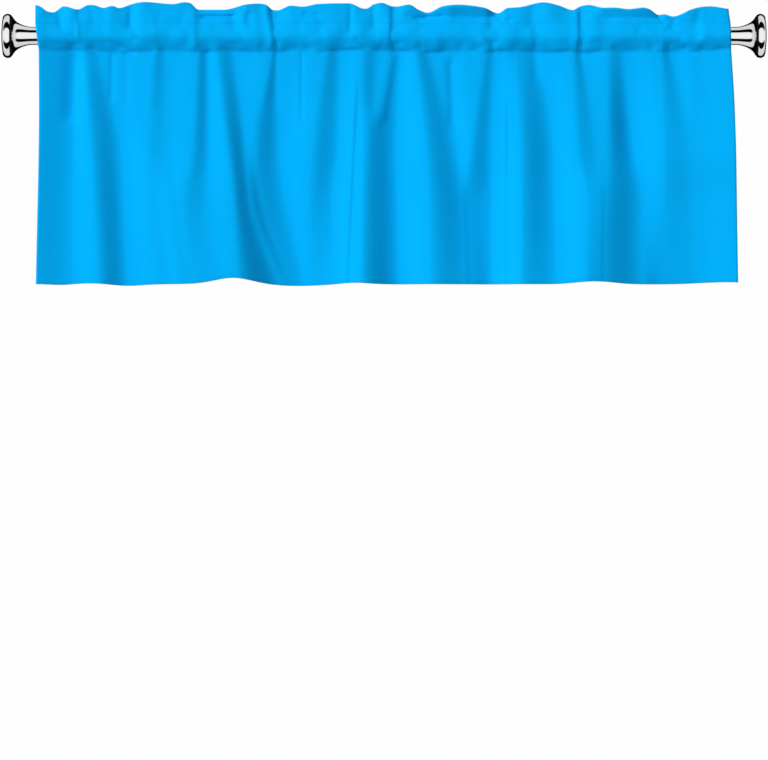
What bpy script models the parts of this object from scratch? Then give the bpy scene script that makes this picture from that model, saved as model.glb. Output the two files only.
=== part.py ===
"""Window valance with a rod pocket, gathered on a plain curtain rod with a trumpet finial at each end.

The valance is one panel of cloth.  From its hem it rises as the skirt to the lower seam, goes up
round the front of the rod to the upper seam, stands above that as a ruffled heading, folds over
at the top, and comes down behind, round the back of the rod, to the lower seam again.
The rod is a thin tube.  Each finial is turned, with a spigot that plugs the tube's end.

Metres, +Z up.  X runs along the rod, the front faces -Y, and the origin is on the rod's axis,
half way along it.  The tables are in millimetres.
"""
from collections import namedtuple
from math import pi

import bmesh
import bpy
import numpy as np

MM = 0.001

# Cloth
CLOTH_THICKNESS = 1.2 * MM
LAYER_GAP = 0.6 * MM                    # free space between the two layers along a seam
LAYER_OFFSET = (CLOTH_THICKNESS + LAYER_GAP) / 2
UPPER_SEAM = 20 * MM                    # heights above the rod's axis
LOWER_SEAM = -25 * MM
HEM = -403.5 * MM
TAIL_DROP = 0.02                        # the turning behind, as a share of the skirt's drop
FOLD_RADIUS = 1.7 * MM                  # where the heading folds over
HEADING_PUFF = 1.6 * MM                 # how far each layer of the heading swells half way up
POCKET_PUFF = 6.0 * MM                  # how far the pocket stands off the rod between gathers
POCKET_CLEARANCE = 0.5 * MM             # from the rod to the cloth, at the gathers

# Rod and finials
ROD_RADIUS = 13.5 * MM
ROD_WALL = 1.0 * MM
ROD_LENGTH = 1146.4 * MM
ROUND_STEPS = 36
JOINT_GAP = 0.3 * MM
SPIGOT_LENGTH = 26 * MM
FINIAL_LENGTH = 51.2 * MM
FACE_RADIUS = 31 * MM                   # the slightly domed end face
FACE_RISE = 2.4 * MM
FLAT_RADIUS = 8 * MM                    # a true flat in the middle of that face
BEAD_RADIUS = 36.1 * MM                 # the round rim of the head
BEAD_HALF_WIDTH = 8.2 * MM
BEAD_HEIGHT = 7.6 * MM
FLARE_RADIUS = 31.2 * MM                # the trumpet behind the rim, falling to the neck
FLARE_LENGTH = 20 * MM
FLARE_FALL = 9 * MM                     # length over which the flare loses 63 % of its height

# Mesh of the cloth
COLUMNS = 88
SKIRT_ROWS = 7
ARC_POINTS = 4                          # points where the pocket lies on its round, front or back
FRONT_HEADING_ROWS = 3
BACK_HEADING_ROWS = 2
SEAM_SHARE = 0.6                        # the upper seam's share of the way up to the top edge
EXTRA_TURN = 0.5 * MM                   # how much further out the pocket's corners stand than its chords

# Side edges of the panel: at the top edge, at the lower seam, part-way down, and at the hem
Edge = namedtuple("Edge", "top seam quarter hem")
EDGE_DROP = (0.0, 0.25, 1.0)            # share of the skirt's drop at seam, quarter and hem
LEFT_EDGE = Edge(-567, -563.5, -561.5, -567.5)
RIGHT_EDGE = Edge(562, 565.5, 570.5, 579)

# Heading: one row for each puff, from the gather at its left to its peak
# (x, height of the top edge above the rod's axis, how far it stands forward)
Puff = namedtuple("Puff", "gather_x gather_z gather_out peak_x peak_z peak_out")
PUFFS = (
    Puff(-568, 46.0, 1.0, -560, 48.0, 4.0),
    Puff(-539, 36.5, -5.0, -524, 46.5, 6.0),
    Puff(-505, 39.0, -4.0, -480, 50.0, 7.0),
    Puff(-460, 44.5, -3.0, -444, 48.5, 5.0),
    Puff(-431, 42.5, -6.0, -392, 54.0, 7.5),
    Puff(-345, 50.0, 0.0, -322, 53.5, 6.0),
    Puff(-306, 39.0, -8.0, -272, 42.0, -2.0),
    Puff(-250, 43.5, -4.0, -209, 51.5, 7.5),
    Puff(-177, 38.5, -8.0, -152, 49.0, 6.5),
    Puff(-136, 46.5, -2.0, -72, 53.0, 7.0),
    Puff(-28, 40.0, -6.0, -7, 53.0, 5.0),
    Puff(14, 46.0, -7.0, 42, 50.0, -1.0),
    Puff(70, 35.0, -6.0, 123, 49.5, 0.0),
    Puff(184, 37.0, -7.0, 258, 53.5, 7.5),
    Puff(311, 40.0, -8.0, 331, 50.0, 5.5),
    Puff(375, 44.0, -4.0, 422, 44.0, -1.0),
    Puff(447, 30.5, -5.0, 461, 33.0, -2.0),
    Puff(474, 29.0, -7.0, 530, 46.5, 7.0),
    Puff(560, 42.5, 1.0, 568, 42.0, 0.0),
)

# Skirt: one row for each fold, from its crest to the valley at its right.  Every column holds
# values at the lower seam, 43 % of the way down and at the hem: x, then how far it stands forward
FOLD_DROP = (0.0, 0.43, 1.0)
Fold = namedtuple("Fold", "crest_x crest_out valley_x valley_out")
FOLDS = (
    Fold((-563, -565, -568), (1, 6, 8), (-508, -511, -510), (-3, -5, -4)),
    Fold((-493, -480, -476), (3, 9, 12), (-451, -422, -412), (-4, -13, -15)),
    Fold((-376, -374, -353), (4, 2, -5), (-351, -347, -327), (-3, -1, 0)),
    Fold((-311, -320, -301), (4, 8, 9), (-286, -283, -278), (-4, -2, 8)),
    Fold((-273, -258, -247), (3, 9, 19), (-249, -222, -200), (-5, -10, -10)),
    Fold((-195, -214, -164), (3, -6, -15), (-172, -169, -124), (-5, -17, -18)),
    Fold((-102, -126, -108), (4, 4, -16), (-66, -71, -88), (-3, -5, -9)),
    Fold((0, -33, -36), (3, 9, 13), (23, 23, 29), (-5, -13, -15)),
    Fold((52, 68, 75), (3, 7, 9), (78, 116, 134), (-5, -9, -10)),
    Fold((160, 134, 147), (3, 0, -11), (179, 178, 181), (-4, -12, -15)),
    Fold((205, 217, 223), (3, 9, 10), (254, 281, 284), (-5, -9, -7)),
    Fold((303, 313, 328), (4, 7, 16), (325, 352, 353), (-4, -1, 8)),
    Fold((365, 366, 358), (3, 2, 6), (392, 411, 418), (-5, -16, -11)),
    Fold((450, 450, 459), (3, 7, -15), (473, 506, 499), (-5, -2, -16)),
    Fold((566, 573, 579), (0, 5, 3), (600, 600, 600), (0, 5, 3)),
)

# Places where the hem rides up or hangs lower: x, half width, rise
HemWave = namedtuple("HemWave", "x reach rise")
HEM_WAVES = (
    HemWave(-484, 60, 1.5),
    HemWave(-420, 50, -2.5),
    HemWave(-246, 60, 10.0),
    HemWave(-125, 80, -1.5),
    HemWave(-50, 45, 2.5),
    HemWave(345, 60, 4.5),
    HemWave(560, 90, 3.5),
)


def material(name, colour, roughness, metallic=0.0):
    """A plain Principled material."""
    made = bpy.data.materials.new(name)
    made.use_nodes = True
    shader = made.node_tree.nodes["Principled BSDF"]
    shader.inputs["Base Color"].default_value = (*colour, 1)
    shader.inputs["Roughness"].default_value = roughness
    shader.inputs["Metallic"].default_value = metallic
    return made


def smooth_curve(knots, values, x):
    """A curve through the knots that never overshoots them: cubic pieces with Fritsch's slopes."""
    knots = np.asarray(knots, float)
    values = np.asarray(values, float)
    step = np.diff(knots)
    rise = np.diff(values) / step
    turns = rise[:-1] * rise[1:] <= 0
    weight_a = 2 * step[1:] + step[:-1]
    weight_b = step[1:] + 2 * step[:-1]
    safe = np.where(turns, 1.0, rise[:-1]), np.where(turns, 1.0, rise[1:])
    inner = (weight_a + weight_b) / (weight_a / safe[0] + weight_b / safe[1])
    slope = np.concatenate(([rise[0]], np.where(turns, 0.0, inner), [rise[-1]]))
    x = np.clip(x, knots[0], knots[-1])
    i = np.clip(np.searchsorted(knots, x) - 1, 0, len(step) - 1)
    t = (x - knots[i]) / step[i]
    hermite = ((1 + 2 * t) * (1 - t) ** 2, t * (1 - t) ** 2, t * t * (3 - 2 * t), t * t * (t - 1))
    return (hermite[0] * values[i] + hermite[1] * step[i] * slope[i]
            + hermite[2] * values[i + 1] + hermite[3] * step[i] * slope[i + 1])


def alternating(rows, first, second):
    """One list that takes a column's value from each row in turn with its partner's."""
    return [value for row in rows for value in (getattr(row, first), getattr(row, second))]


def across(u, left, right):
    """X of the columns between two side edges."""
    return (left + u * (right - left)) * MM


def skirt_x(u, drop):
    """X of the columns at a share of the skirt's drop."""
    left, right = (smooth_curve(EDGE_DROP, (e.seam, e.quarter, e.hem), np.array([drop]))[0]
                   for e in (LEFT_EDGE, RIGHT_EDGE))
    return across(u, left, right)


def heading_x(u, share):
    """X of the columns at a share of the way from the lower seam to the top edge."""
    left, right = (e.seam + share * (e.top - e.seam) for e in (LEFT_EDGE, RIGHT_EDGE))
    return across(u, left, right)


def skirt_out(x, drop):
    """How far the skirt stands forward, through the crests and valleys at that drop."""
    columns = [alternating(FOLDS, "crest_x", "valley_x"), alternating(FOLDS, "crest_out", "valley_out")]
    places, forward = ([smooth_curve(FOLD_DROP, line, np.array([drop]))[0] for line in column]
                       for column in columns)
    return smooth_curve(places, forward, x / MM) * MM


def heading_out(x):
    """How far the top edge stands forward."""
    return smooth_curve(alternating(PUFFS, "gather_x", "peak_x"),
                        alternating(PUFFS, "gather_out", "peak_out"), x / MM) * MM


def top_edge(x):
    """Height of the top edge."""
    return smooth_curve(alternating(PUFFS, "gather_x", "peak_x"),
                        alternating(PUFFS, "gather_z", "peak_z"), x / MM) * MM


def hem_edge(x):
    """Height of the hem, with its waves."""
    rise = sum(wave.rise * np.exp(-2 * ((x / MM - wave.x) / wave.reach) ** 2) for wave in HEM_WAVES)
    return HEM + rise * MM


def pocket_puff(x):
    """How far the pocket stands off its round: nothing at a gather, all of it at a peak."""
    forward = heading_out(x) / MM
    outs = [puff.gather_out for puff in PUFFS] + [puff.peak_out for puff in PUFFS]
    return POCKET_PUFF * (forward - min(outs)) / (max(outs) - min(outs))


def seam_out(x, upper):
    """How far forward both layers lie at a seam: a third of the heading's wave above, the skirt's below."""
    return heading_out(x) / 3 if upper else skirt_out(x, 0.0)


def pocket_rows(u, side):
    """Rows of one layer of the pocket from the lower seam up, both seams left out.

    The layer leaves the lower seam along a tangent, follows the rod's round, and runs to the upper
    seam along another tangent.  Side is -1 at the front and +1 at the back.
    """
    chord_radius = ROD_RADIUS + POCKET_CLEARANCE + CLOTH_THICKNESS / 2
    radius = chord_radius + EXTRA_TURN
    start = pi - np.arccos(radius / -LOWER_SEAM)
    stop = np.arccos(radius / UPPER_SEAM)
    rows = []
    for angle in np.linspace(start, stop, ARC_POINTS):
        z = radius * np.cos(angle)
        x = heading_x(u, SEAM_SHARE * (z - LOWER_SEAM) / (UPPER_SEAM - LOWER_SEAM))
        out = radius + pocket_puff(x)
        rows.append((x, side * out * np.sin(angle), np.full_like(x, z)))
    return rows


def heading_rows(u, side, count):
    """Rows of one layer of the heading, from just above the upper seam to the foot of the fold."""
    rows = []
    for share in np.arange(1, count + 1) / count:
        x = heading_x(u, SEAM_SHARE + (1 - SEAM_SHARE) * share)
        top = top_edge(x) - 2 * FOLD_RADIUS
        lean = heading_out(x) * (1 + 2 * share) / 3
        swell = LAYER_OFFSET + HEADING_PUFF * np.sin(pi * share)
        rows.append((x, side * swell - lean, UPPER_SEAM + share * (top - UPPER_SEAM)))
    return rows


def seam_row(u, upper, side):
    """One layer along a seam."""
    x = heading_x(u, SEAM_SHARE) if upper else skirt_x(u, 0.0)
    z = UPPER_SEAM if upper else LOWER_SEAM
    return x, side * LAYER_OFFSET - seam_out(x, upper), np.full_like(x, z)


def fold_rows(u):
    """The heading's turn: three points of a half round, with the top edge in the middle."""
    x = heading_x(u, 1.0)
    lean = heading_out(x)
    top = top_edge(x)
    return [(x, -FOLD_RADIUS - lean, top - FOLD_RADIUS),
            (x, -lean, top),
            (x, FOLD_RADIUS - lean, top - FOLD_RADIUS)]


def skirt_rows(u):
    """Rows of the skirt from the hem up, closer together near the seam, where the folds begin.

    The last row lies where the turning behind ends, so that the two stay side by side.
    """
    rows = []
    for drop in [*(np.arange(SKIRT_ROWS, 0, -1) / SKIRT_ROWS) ** 1.3, TAIL_DROP]:
        x = skirt_x(u, drop)
        z = LOWER_SEAM + drop * (hem_edge(x) - LOWER_SEAM)
        rows.append((x, -LAYER_OFFSET - skirt_out(x, drop), z))
    return rows


def tail_row(u):
    """The cut edge of the turning, just below the lower seam and one layer behind the skirt."""
    x = skirt_x(u, TAIL_DROP)
    z = LOWER_SEAM + TAIL_DROP * (hem_edge(x) - LOWER_SEAM)
    return x, LAYER_OFFSET - skirt_out(x, TAIL_DROP), z


def panel_rows(u):
    """The whole panel, from the hem to the tail of the turning, one row of points after another."""
    rows = skirt_rows(u)
    rows.append(seam_row(u, False, -1))
    rows += pocket_rows(u, -1)
    rows.append(seam_row(u, True, -1))
    rows += heading_rows(u, -1, FRONT_HEADING_ROWS)
    rows += fold_rows(u)
    rows += heading_rows(u, 1, BACK_HEADING_ROWS)[::-1]
    rows.append(seam_row(u, True, 1))
    rows += pocket_rows(u, 1)[::-1]
    rows.append(seam_row(u, False, 1))
    rows.append(tail_row(u))
    return np.array(rows)


def cloth_sheet(name, collection, finish):
    """The panel: a flat grid whose points are moved to the rows, then given its thickness."""
    u = np.linspace(0, 1, COLUMNS + 1)
    rows = panel_rows(u)
    mesh = bpy.data.meshes.new(name)
    grid = bmesh.new()
    bmesh.ops.create_grid(grid, x_segments=COLUMNS, y_segments=len(rows) - 1, size=0.5)
    for vertex in grid.verts:
        column = round((vertex.co.x + 0.5) * COLUMNS)
        row = round((vertex.co.y + 0.5) * (len(rows) - 1))
        vertex.co = rows[row, :, column]
    grid.to_mesh(mesh)
    grid.free()
    sheet = bpy.data.objects.new(name, mesh)
    collection.objects.link(sheet)
    mesh.materials.append(finish)
    mesh.shade_smooth()
    wall = sheet.modifiers.new("thickness", "SOLIDIFY")
    wall.thickness = CLOTH_THICKNESS
    wall.offset = 0
    wall.use_even_offset = True
    return sheet


def turned(name, collection, finish, profile, turn, place):
    """A piece turned about its own Z: the profile's (radius, height) points, run round by a Screw."""
    mesh = bpy.data.meshes.new(name)
    points = [(radius, 0, height) for radius, height in profile]
    mesh.from_pydata(points, [(i, i + 1) for i in range(len(points) - 1)], [])
    piece = bpy.data.objects.new(name, mesh)
    collection.objects.link(piece)
    mesh.materials.append(finish)
    screw = piece.modifiers.new("turn", "SCREW")
    screw.steps = ROUND_STEPS
    screw.render_steps = ROUND_STEPS
    screw.use_merge_vertices = True
    screw.merge_threshold = 0.0001
    piece.rotation_euler = (0, turn, 0)
    piece.location = (place, 0, 0)
    return piece


def tube_profile():
    """Outer side down, then the bore up: closed on itself."""
    half = ROD_LENGTH / 2
    bore = ROD_RADIUS - ROD_WALL
    return [(ROD_RADIUS, half), (ROD_RADIUS, -half), (bore, -half), (bore, half), (ROD_RADIUS, half)]


def finial_profile():
    """From the middle of the end face out over the dome and the bead, down the flare, neck and spigot."""
    dome_steps = np.linspace(FLAT_RADIUS, FACE_RADIUS, 3)
    dome = [(r, FINIAL_LENGTH - FACE_RISE * ((r - FLAT_RADIUS) / (FACE_RADIUS - FLAT_RADIUS)) ** 2)
            for r in dome_steps]
    middle = FINIAL_LENGTH - FACE_RISE - BEAD_HALF_WIDTH * 0.93
    bead = [(BEAD_RADIUS - BEAD_HEIGHT * (1 - np.sin(a)), middle + BEAD_HALF_WIDTH * np.cos(a))
            for a in np.linspace(0.13 * pi, 0.87 * pi, 7)]
    flare_top = middle - BEAD_HALF_WIDTH
    neck = ROD_RADIUS
    flare = [(neck + (FLARE_RADIUS - neck) * np.exp(-s / FLARE_FALL), flare_top - s)
             for s in np.linspace(0, FLARE_LENGTH, 6)]
    spigot = ROD_RADIUS - ROD_WALL - JOINT_GAP
    shank = [(neck, flare_top - FLARE_LENGTH), (neck, JOINT_GAP), (spigot, JOINT_GAP),
             (spigot, -SPIGOT_LENGTH), (0, -SPIGOT_LENGTH)]
    return [(0, FINIAL_LENGTH)] + dome + bead + flare + shank


def main():
    for old in list(bpy.data.objects):
        bpy.data.objects.remove(old)
    valance = bpy.data.collections.new("window_valance")
    bpy.context.scene.collection.children.link(valance)
    cloth = material("azure_cloth", (0.003, 0.46, 1.0), 0.85)
    chrome = material("chrome_rod", (0.82, 0.82, 0.84), 0.12, 1.0)
    chrome_finial = material("chrome_finial", (0.86, 0.86, 0.88), 0.08, 1.0)
    cloth_sheet("valance", valance, cloth)
    rod = turned("rod", valance, chrome, tube_profile(), pi / 2, 0)
    finials = [turned("finial_" + name, valance, chrome_finial, finial_profile(),
                      side * pi / 2, side * ROD_LENGTH / 2) for name, side in (("left", -1), ("right", 1))]
    for piece in [rod] + finials:
        piece.data.shade_smooth()


main()
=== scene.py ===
"""Looks of the window valance: gathered azure cloth on a chrome rod with a trumpet finial at each end.

Metres, +Z up, the rod along X and the cloth's front towards -Y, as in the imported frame.
The tables of folds, puffs and creases are in millimetres.
"""
from collections import namedtuple
from math import pi, radians

import bpy
import numpy as np
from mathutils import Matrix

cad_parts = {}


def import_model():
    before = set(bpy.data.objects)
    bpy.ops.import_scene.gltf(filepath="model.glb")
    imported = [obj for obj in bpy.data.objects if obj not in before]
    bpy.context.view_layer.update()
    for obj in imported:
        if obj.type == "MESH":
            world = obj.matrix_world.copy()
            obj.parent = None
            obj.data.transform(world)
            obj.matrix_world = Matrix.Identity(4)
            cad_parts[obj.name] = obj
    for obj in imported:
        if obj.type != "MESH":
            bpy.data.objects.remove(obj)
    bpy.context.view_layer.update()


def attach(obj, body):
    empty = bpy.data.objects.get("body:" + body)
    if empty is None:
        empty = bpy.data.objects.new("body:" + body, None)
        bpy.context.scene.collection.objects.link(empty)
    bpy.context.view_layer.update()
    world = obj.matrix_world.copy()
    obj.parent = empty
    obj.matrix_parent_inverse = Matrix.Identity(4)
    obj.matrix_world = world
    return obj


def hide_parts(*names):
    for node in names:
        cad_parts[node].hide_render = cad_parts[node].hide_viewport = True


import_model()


MM = 0.001

# Cloth, in millimetres.  A layer's side is -1 at the front and 1 at the back
CLOTH_THICKNESS = 0.7
LAYER_GAP = 0.3                         # between the two layers where they are sewn together
LAYER_OFFSET = (CLOTH_THICKNESS + LAYER_GAP) / 2
UPPER_SEAM = 20.0                       # heights above the rod's axis
LOWER_SEAM = -25.0
HEM = -404.7
HEM_TURNING = 25.0                      # the hem is turned up behind by this much
HEM_ROUND = 0.55                        # radius of its turn
TAIL_DROP = 0.02                        # the turning ends this share of the skirt's drop below its seam
FOLD_RADIUS = 2.2                       # radius of the turn over the heading's top
HEADING_PUFF = 0.6                      # each layer of the heading swells by this much
PUFF_AT_SEAM = 0.6                      # share of the heading's puffs that shows at the upper seam
SEAM_FORWARD = 10.0                     # the upper seam lies this far in front of the rod's axis
TOP_FORWARD = 3.6                       # and the top edge this far
BELLY_SLOPE = 0.60                      # how fast the pocket bellies out above the lower seam
LIP = 3.6                               # the pocket's roll right above that seam
LIP_HEIGHT = 2.2                        # and the height over which it rolls out
POCKET_SLOPES = {-1: 0.24, 1: 2.0}      # how fast its front and back lean in towards the upper seam
POCKET_ROUND = 5.5                      # softness of the turn between those slopes
POCKET_PUFF = 3.0                       # how much it swells between gathers
POCKET_CLEARANCE = 0.5                  # between the rod and the cloth's inner face
ROD_SOFTNESS = 0.4                      # softness of the turn where the cloth comes to lie on the rod
COLLAR_EASE = 12.0                      # the cloth widens over this length before a collar
STEEPEST = radians(70)                  # the cloth leaves the rod's round where it is this steep
SEAM_SHARE = 0.6                        # the upper seam's share of the way up to the top edge
FLAT_SIZE = (1.321, 0.59)               # the panel as cut, in metres

# Rod and finials, in millimetres
ROD_RADIUS = 13.5
ROD_WALL = 1.0
ROD_LENGTH = 1146.4
EDGE_SOFTNESS = 0.15                    # turned edges are broken by this much
FINIAL_LENGTH = 51.2                    # past the rod's end
JOINT_GAP = 0.3
FACE_RADIUS = 31.0
FACE_RISE = 2.4                         # the end face's crown
BEAD_RADIUS = 36.1
BEAD_HALF_WIDTH = 8.2
BEAD_HEIGHT = 7.6
BEAD_SETBACK = 0.93                     # of the bead's middle from the face's rim, in its half widths
BEAD_TURN = (0.13 * pi, 0.9 * pi)       # the bead's round runs from the face's rim to the flare
FLARE_RADIUS = 31.2
FLARE_LENGTH = 33.0
FLARE_FALL = 3.0                        # its steep start falls away over this length
FLARE_PARTS = (0.75, 0.25)              # shares of the flare's long sweep and of its steep start
NECK_RADIUS = 14.6
NECK_SPACE = 0.4                        # between the flare's last ring and the collar's bottom
COLLAR_DEPTH = 17.0                     # the neck's collar reaches this far over the rod's end
SPIGOT_LENGTH = 26.0

# Mesh of the rod and finials
ROUND_STEPS = 160
FACE_RINGS = 12
BEAD_RINGS = 26
FLARE_RINGS = 34
FLARE_CROWDING = 1.3                    # its rings stand closer together towards the bead
POLE_RADIUS = 0.001                     # a face starts from a ring this small, in millimetres
WELD_DISTANCE = 0.00001                 # and its points are welded within this distance, in metres

# Mesh of the cloth
CLOTH_MAP = "cloth_metres"
COLUMNS = 400
CROWDING = 1.6                          # how much closer columns stand at a narrow upright crease
CROWD_REACH = 6.0                       # and how far round it, in millimetres
NARROW = 4.0                            # creases up to this half width are narrow
CREASE_PLACES = 3                       # places down each of them that draw columns in
SHARE_STEPS = 5001                      # steps over which the crowding is summed up
HEM_ROWS = 4
HEM_EDGE_ROWS = 3
SKIRT_ROWS = 52
ROW_CROWDING = 1.2                      # the skirt's rows stand closer together towards its seam
POCKET_ROWS = 19
HEADING_ROWS = 14
FOLD_ROWS = 6
BACK_HEADING_ROWS = 6
BACK_POCKET_ROWS = 11

# Stitches, in millimetres
STITCH_PITCH = 3.2
STITCH_LENGTH = 2.5
STITCH_TAPER = 0.85                     # share of the thread's section that is lost at a stitch's ends
THREAD_RADIUS = 0.2
THREAD_OFFSET = CLOTH_THICKNESS / 2 + THREAD_RADIUS / 2
HEM_STITCH_DROP = 1.5                   # the hem's stitches run this far below its turning's edge
LOOK_AHEAD = 1.0                        # a stitch points at the place this far ahead on its line
LINE_STEPS = 1200
STITCH_RINGS = 6
THREAD_SIDES = 5

# Side edges of the panel: at the top edge, the upper seam, the lower seam, part-way down, and the hem
Edge = namedtuple("Edge", "top upper seam quarter hem")
EDGE_DROP = (0.0, 0.25, 1.0)            # shares of the skirt's drop for the last three
LEFT_EDGE = Edge(-569, -568.7, -563.5, -563, -568)
RIGHT_EDGE = Edge(562.3, 565.2, 566.5, 572, 579)

# The heading's top edge, (x, height above the rod's axis), from dip to shoulder to dip
TOP_EDGE = (
    (-570, 50.0), (-563, 48.4), (-548, 38.9), (-540, 38.0), (-523, 48.0), (-500, 42.6),
    (-482, 50.1), (-474, 49.9), (-458, 45.2), (-443, 48.4), (-433, 45.0), (-409, 52.4),
    (-390, 54.7), (-344, 51.4), (-326, 54.4), (-317, 53.4), (-303, 42.4), (-262, 42.3),
    (-222, 51.0), (-204, 52.3), (-194, 51.0), (-181, 42.0), (-174, 41.4), (-152, 48.8),
    (-133, 47.2), (-107, 51.6), (-57, 52.7), (-33, 44.0), (-28, 44.2), (-17, 51.1),
    (-4, 53.4), (14, 47.8), (22, 47.6), (41, 50.2), (57, 41.5), (71, 37.3),
    (97, 47.6), (121, 49.8), (162, 45.5), (187, 36.9), (202, 45.0), (219, 46.1),
    (260, 54.2), (285, 49.2), (308, 41.8), (322, 48.4), (334, 50.1), (358, 45.0),
    (375, 45.2), (399, 42.8), (423, 45.1), (433, 42.6), (448, 34.0), (457, 34.8),
    (472, 31.2), (489, 36.6), (498, 41.2), (520, 46.9), (532, 47.7), (556, 44.5),
    (568, 42.8),
)

# How far the heading stands forward: back at a gather, out in the puff to its right
Puff = namedtuple("Puff", "gather gather_out peak peak_out")
PUFFS = (
    Puff(-570, 1.0, -560, 2.0),
    Puff(-532, -2.0, -508, 2.5),
    Puff(-478, -1.5, -469, -0.5),
    Puff(-460, -0.5, -446, 2.0),
    Puff(-418, -3.0, -400, 3.5),
    Puff(-347, 1.0, -330, 2.5),
    Puff(-304, -3.2, -280, -1.5),
    Puff(-248, -1.0, -222, 4.0),
    Puff(-184, -3.6, -150, 2.0),
    Puff(-134, 1.5, -90, 3.5),
    Puff(-60, 0.0, -46, 2.5),
    Puff(-19, -2.0, -6, 3.0),
    Puff(15, -3.0, 34, 0.5),
    Puff(62, -2.0, 90, 1.5),
    Puff(180, -3.2, 200, 2.2),
    Puff(236, 1.5, 264, 4.0),
    Puff(319, -3.0, 345, 1.6),
    Puff(356, 0.0, 395, 1.0),
    Puff(446, -2.0, 457, -0.5),
    Puff(472, -2.2, 490, -0.8),
    Puff(502, -1.5, 520, 3.0),
    Puff(560, 1.0, 568, 0.5),
)

# Where the heading rolls forward over the pocket: from and to along x, height of the line, how far
Roll = namedtuple("Roll", "start stop height forward")
ROLLS = (
    Roll(28, 46, 31.5, 6.0),
    Roll(46, 102, 31.0, 7.5),
    Roll(102, 178, 30.5, 9.5),
    Roll(350, 400, 30.0, 8.5),
    Roll(400, 446, 29.5, 9.5),
    Roll(466, 512, 22.5, 6.5),
)
ROLL_SOFTNESS = 5.0                     # softness of a roll's two ends
ROLL_HEIGHT = 13.0                      # it comes forward by its measure over this height
ROLL_LIMIT = 1.2                        # and on up to this share of the measure

# The lower seam: x, how far it wanders above its level, and how much the pocket rolls over it
LOWER_STRETCHES = (
    (-566, 2.0, 0.15), (-522, 0.5, 0.4), (-509, 3.0, 0.1), (-495, 0.6, 0.2), (-450, -0.3, 0.35),
    (-432, -2.2, 0.6), (-418, -1.8, 0.7), (-395, -1.0, 0.45), (-366, 0.8, 0.2), (-320, -1.0, 0.4),
    (-295, -1.2, 0.75), (-270, -0.5, 0.35), (-240, 0.5, 0.2), (-218, -0.2, 0.6), (-205, -1.8, 0.7),
    (-190, 0.5, 0.6), (-170, -0.5, 0.8), (-150, 1.0, 0.4), (-130, 1.0, 0.3), (-113, -1.8, 0.6),
    (-98, -0.6, 0.5), (-75, 1.4, 0.9), (-45, 2.8, 0.8), (-28, 0.6, 0.5), (0, 1.0, 0.6), (25, 0.5, 0.6),
    (45, 0.0, 0.4), (65, -1.6, 0.9), (84, -1.8, 0.8), (102, 0.4, 0.3), (127, -0.8, 0.3),
    (148, 0.2, 0.3), (161, -2.0, 0.9), (178, -0.3, 0.9), (195, 0.0, 0.9), (220, 0.0, 0.6),
    (245, -1.0, 0.4), (270, -1.8, 0.7), (285, -1.4, 0.8), (301, 0.2, 0.7), (313, -1.8, 0.8),
    (329, -2.6, 0.7), (343, -0.6, 0.3), (356, 0.8, 0.1), (385, -0.5, 0.5), (410, 0.6, 0.4),
    (425, -0.6, 0.5), (447, -0.8, 0.5), (468, 0.4, 0.2), (490, -2.4, 1.0), (520, 0.6, 0.95),
    (545, 3.0, 0.95), (566, 5.0, 0.8),
)

# Skirt: one row for each fold, from its crest to the valley at its right.  Every column holds
# values at the lower seam, at two heights below it and at the hem: x, then how far it stands forward
FOLD_DROP = (0.0, 0.43, 0.65, 1.0)
Fold = namedtuple("Fold", "crest_x crest_out valley_x valley_out")
FOLDS = (
    Fold((-563, -565, -567, -568), (4, 6, 7, 6.5), (-505, -509, -511, -510), (-4.4, -5, -4.5, -3)),
    Fold((-490, -476, -470, -464), (1, 8, 8, 9.5), (-467, -431, -427, -420), (-3, -7, -7.5, -7)),
    Fold((-375, -380, -372, -353), (3, 5.5, 7, 6.5), (-356, -357, -346, -327), (-0.5, 5, 12.5, 13)),
    Fold((-304, -312, -325, -301), (4, 11.5, 15, 15), (-288, -287, -290, -278), (-2, 4.5, 11, 16.5)),
    Fold((-273, -255, -246, -239), (3, 12.5, 17.5, 20.5), (-246, -226, -220, -171), (-4.5, -2, 2, -17)),
    Fold((-182, -212, -198, -147), (1, -2, -8, -21), (-175, -173, -162, -134), (-1, -14.5, -18, -21.5)),
    Fold((-95, -115, -118, -108), (5, 1, -7, -16), (-73, -78, -88, -88), (-1, -7, -9.5, -11)),
    Fold((-37, -34, -35, -36), (4.5, 9, 10, 12), (24, 18, 20, 23), (-5, -11, -12, -12.5)),
    Fold((52, 71, 77, 80), (3, 7, 8, 9), (75, 118, 128, 131), (-3.5, -8.5, -9.6, -4.4)),
    Fold((164, 143, 138, 145), (3, -1.5, -12.4, -8.6), (180, 173, 174, 174), (-0.5, -9.5, -18.5, -16.5)),
    Fold((216, 224, 225, 226), (3, 9, 9.5, 10), (252, 275, 277, 279), (-3, -8, -6, 0)),
    Fold((308, 318, 334, 331), (3.5, 7, 12.5, 15), (323, 347, 352, 350), (-1.5, 2, 11, 12)),
    Fold((365, 365, 362, 360), (3, 2, 8.5, 8.5), (390, 407, 422, 420), (-3, -16, -15.5, -16.5)),
    Fold((452, 461, 462, 456), (3, 2.5, -10, -23), (469, 496, 500, 505), (-2, -0.5, -12.5, -24)),
    Fold((588, 592, 594, 596), (5, 12, 2, -9), (620, 620, 620, 620), (4, 10, 0, -11)),
)
SKIRT_FORWARD = 1.2                     # the whole skirt hangs this far forward
CORNER = 0.2                            # share of a rise that each of its rounded ends takes
CORNER_RISE = 0.125                     # share of the rise's height that such an end gains

# Places where the hem rides up or hangs lower: x, half width, rise
HEM_WAVES = (
    (-525, 35, -1.6), (-484, 60, 1.5), (-420, 50, -2.5), (-246, 60, 10.0), (-155, 60, -1.2),
    (-125, 80, -1.5), (-50, 45, 2.5), (345, 60, 4.5), (560, 90, 3.5),
)

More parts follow.
